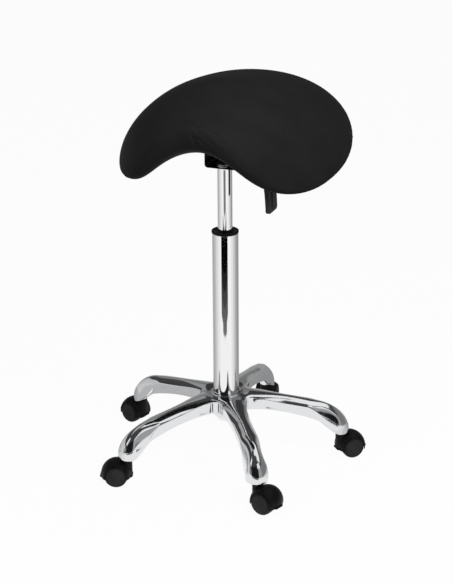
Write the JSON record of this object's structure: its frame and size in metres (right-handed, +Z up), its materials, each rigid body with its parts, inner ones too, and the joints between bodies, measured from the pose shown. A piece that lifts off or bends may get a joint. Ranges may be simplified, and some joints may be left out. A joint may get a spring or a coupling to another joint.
{
  "type": "saddle stool",
  "caption": "Height-adjustable saddle stool: upholstered saddle seat on a chromed gas lift, cast star base and hooded twin-wheel casters.",
  "frame": {"origin": "on the floor under the column's axis", "axes": "+Z up along the column; the seat's narrow front end faces -Y; +X towards the height lever"},
  "size_m": [0.5277, 0.4956, 0.7547],
  "materials": {
    "base": "polished cast aluminium",
    "chrome": "bright chrome plate on steel tube",
    "steel": "zinc plated",
    "nylon": "moulded black nylon, fine texture",
    "black_steel": "black powder coat",
    "rubber": "matt",
    "cover": "black leatherette, fine matt grain",
    "foam": "moulded foam",
    "ply": "moulded plywood"
  },
  "bodies": {
    "base": {"star_base": "base", "column_outer_tube": "chrome", "column_guide_bush": "nylon", "column_thrust_bearing": "steel", "column_buffer": "rubber", "caster_rear_stem": "steel", "caster_left_stem": "steel", "caster_front_left_stem": "steel", "caster_front_right_stem": "steel", "caster_right_stem": "steel"},
    "rod": {"lift_piston_rod": "steel", "lift_piston": "nylon", "lift_retaining_clip": "steel"},
    "carriage": {"lift_cylinder": "chrome", "lift_rod_guide": "nylon", "lift_valve_body": "steel", "taper_socket": "steel", "seat_bracket": "black_steel", "seat_bolt_1": "steel", "seat_bolt_2": "steel", "seat_bolt_3": "steel", "seat_bolt_4": "steel", "seat_insert_1": "steel", "seat_insert_2": "steel", "seat_insert_3": "steel", "seat_insert_4": "steel", "seat_pan": "ply", "seat_foam": "foam", "seat_cover": "cover"},
    "release_pin": {"lift_release_pin": "steel"},
    "lever": {"lever_arm": "black_steel", "lever_grip": "nylon"},
    "caster_rear": {"caster_rear_hood": "nylon", "caster_rear_axle": "steel"},
    "caster_rear_wheel_a": {"caster_rear_wheel_a": "nylon"},
    "caster_rear_wheel_b": {"caster_rear_wheel_b": "nylon"},
    "caster_left": {"caster_left_hood": "nylon", "caster_left_axle": "steel"},
    "caster_left_wheel_a": {"caster_left_wheel_a": "nylon"},
    "caster_left_wheel_b": {"caster_left_wheel_b": "nylon"},
    "caster_front_left": {"caster_front_left_hood": "nylon", "caster_front_left_axle": "steel"},
    "caster_front_left_wheel_a": {"caster_front_left_wheel_a": "nylon"},
    "caster_front_left_wheel_b": {"caster_front_left_wheel_b": "nylon"},
    "caster_front_right": {"caster_front_right_hood": "nylon", "caster_front_right_axle": "steel"},
    "caster_front_right_wheel_a": {"caster_front_right_wheel_a": "nylon"},
    "caster_front_right_wheel_b": {"caster_front_right_wheel_b": "nylon"},
    "caster_right": {"caster_right_hood": "nylon", "caster_right_axle": "steel"},
    "caster_right_wheel_a": {"caster_right_wheel_a": "nylon"},
    "caster_right_wheel_b": {"caster_right_wheel_b": "nylon"}
  },
  "joints": [
    {"name": "seat_swivel", "type": "hinge", "parent": "base", "child": "rod", "pos_m": [0, 0, 0.3], "axis": [0, 0, 1], "continuous": true},
    {"name": "gas_lift", "type": "slide", "parent": "rod", "child": "carriage", "axis": [0, 0, 1], "range_m": [-0.11, 0.085]},
    {"name": "lever_lift", "type": "hinge", "parent": "carriage", "child": "lever", "pos_m": [0.03, 0, 0.60693], "axis": [0, -1, 0], "range_deg": [0, 7], "stiffness_Nm_per_rad": 3, "springref_deg": -5.73},
    {"name": "release_pin_press", "type": "slide", "parent": "carriage", "child": "release_pin", "axis": [0, 0, 1], "range_m": [-0.0042, 0]},
    {"name": "caster_rear_swivel", "type": "hinge", "parent": "base", "child": "caster_rear", "pos_m": [0, 0.2253, 0.05], "axis": [0, 0, 1], "continuous": true},
    {"name": "caster_rear_wheel_a_spin", "type": "hinge", "parent": "caster_rear", "child": "caster_rear_wheel_a", "pos_m": [-0.00284, 0.2455, 0.0222], "axis": [-0.9903, -0.1392, 0], "continuous": true},
    {"name": "caster_rear_wheel_b_spin", "type": "hinge", "parent": "caster_rear", "child": "caster_rear_wheel_b", "pos_m": [-0.00284, 0.2455, 0.0222], "axis": [-0.9903, -0.1392, 0], "continuous": true},
    {"name": "caster_left_swivel", "type": "hinge", "parent": "base", "child": "caster_left", "pos_m": [-0.21427, 0.06962, 0.05], "axis": [0, 0, 1], "continuous": true},
    {"name": "caster_left_wheel_a_spin", "type": "hinge", "parent": "caster_left", "child": "caster_left_wheel_a", "pos_m": [-0.23344, 0.0766, 0.0222], "axis": [-0.342, -0.9397, 0], "continuous": true},
    {"name": "caster_left_wheel_b_spin", "type": "hinge", "parent": "caster_left", "child": "caster_left_wheel_b", "pos_m": [-0.23344, 0.0766, 0.0222], "axis": [-0.342, -0.9397, 0], "continuous": true},
    {"name": "caster_front_left_swivel", "type": "hinge", "parent": "base", "child": "caster_front_left", "pos_m": [-0.13243, -0.18227, 0.05], "axis": [0, 0, 1], "continuous": true},
    {"name": "caster_front_left_wheel_a_spin", "type": "hinge", "parent": "caster_front_left", "child": "caster_front_left_wheel_a", "pos_m": [-0.1516, -0.18925, 0.0222], "axis": [0.342, -0.9397, 0], "continuous": true},
    {"name": "caster_front_left_wheel_b_spin", "type": "hinge", "parent": "caster_front_left", "child": "caster_front_left_wheel_b", "pos_m": [-0.1516, -0.18925, 0.0222], "axis": [0.342, -0.9397, 0], "continuous": true},
    {"name": "caster_front_right_swivel", "type": "hinge", "parent": "base", "child": "caster_front_right", "pos_m": [0.13243, -0.18227, 0.05], "axis": [0, 0, 1], "continuous": true},
    {"name": "caster_front_right_wheel_a_spin", "type": "hinge", "parent": "caster_front_right", "child": "caster_front_right_wheel_a", "pos_m": [0.15183, -0.18858, 0.0222], "axis": [0.309, 0.9511, 0], "continuous": true},
    {"name": "caster_front_right_wheel_b_spin", "type": "hinge", "parent": "caster_front_right", "child": "caster_front_right_wheel_b", "pos_m": [0.15183, -0.18858, 0.0222], "axis": [0.309, 0.9511, 0], "continuous": true},
    {"name": "caster_right_swivel", "type": "hinge", "parent": "base", "child": "caster_right", "pos_m": [0.21427, 0.06962, 0.05], "axis": [0, 0, 1], "continuous": true},
    {"name": "caster_right_wheel_a_spin", "type": "hinge", "parent": "caster_right", "child": "caster_right_wheel_a", "pos_m": [0.22943, 0.08327, 0.0222], "axis": [-0.6691, 0.7431, 0], "continuous": true},
    {"name": "caster_right_wheel_b_spin", "type": "hinge", "parent": "caster_right", "child": "caster_right_wheel_b", "pos_m": [0.22943, 0.08327, 0.0222], "axis": [-0.6691, 0.7431, 0], "continuous": true}
  ],
  "couplings": [
    {"joint": "release_pin_press", "follows": "lever_lift", "m_per_rad": -0.0325}
  ]
}
